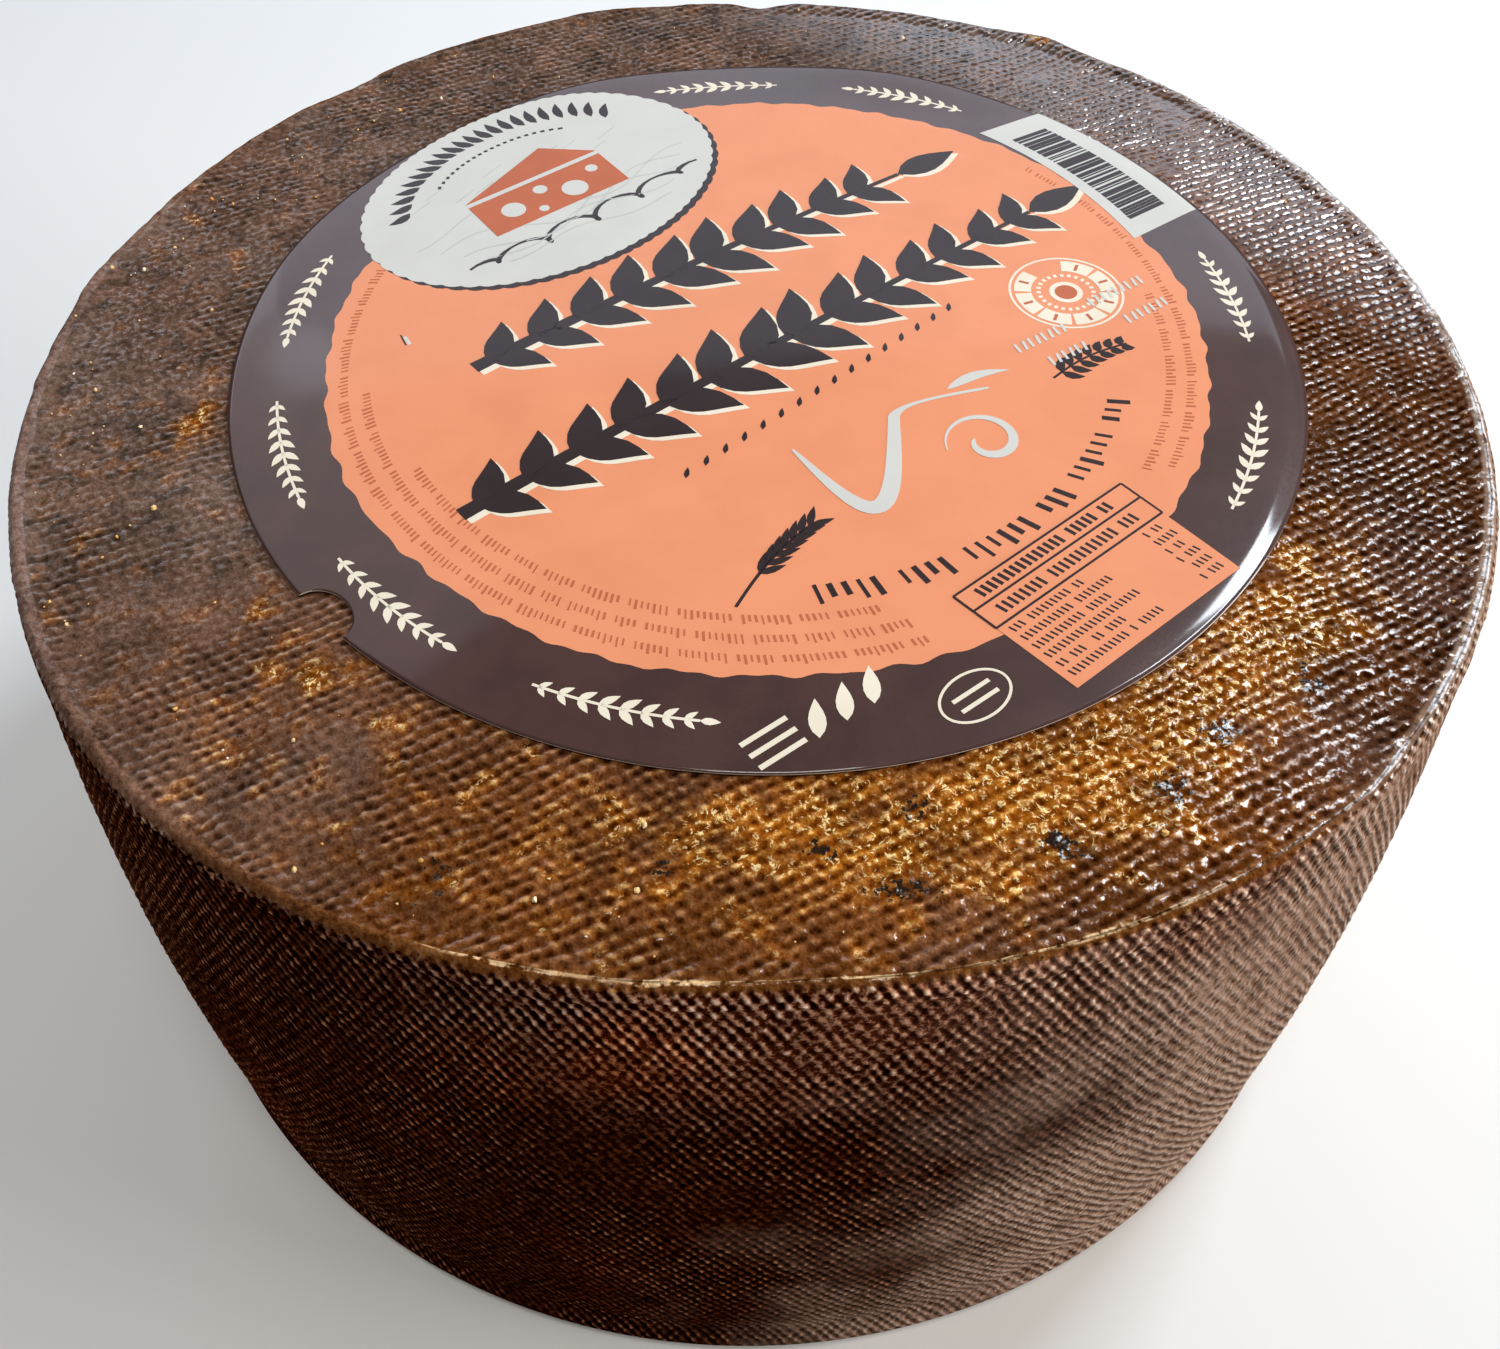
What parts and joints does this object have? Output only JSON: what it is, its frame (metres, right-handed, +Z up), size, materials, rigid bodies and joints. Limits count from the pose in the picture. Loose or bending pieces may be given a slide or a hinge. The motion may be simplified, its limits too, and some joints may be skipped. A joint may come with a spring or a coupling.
{
  "type": "aged sheep cheese wheel",
  "caption": "Low round wheel of aged sheep's milk cheese with a dark cloth-marked rind, a rounded lip and a round paper label lying on its top face.",
  "frame": {"origin": "on the floor under the middle of the wheel's outer box", "axes": "+Z up through the wheel, +X to the viewer's right, +Y away from the viewer"},
  "size_m": [0.1968, 0.1976, 0.0974],
  "materials": {
    "rind": "dark brown oiled natural rind with the close weave of a pressing cloth, amber where it is thin",
    "label_paper": "satin coated paper printed salmon inside a dark aubergine ring"
  },
  "bodies": {
    "root": {"cheese_wheel": "rind", "label": "label_paper"}
  },
  "joints": []
}
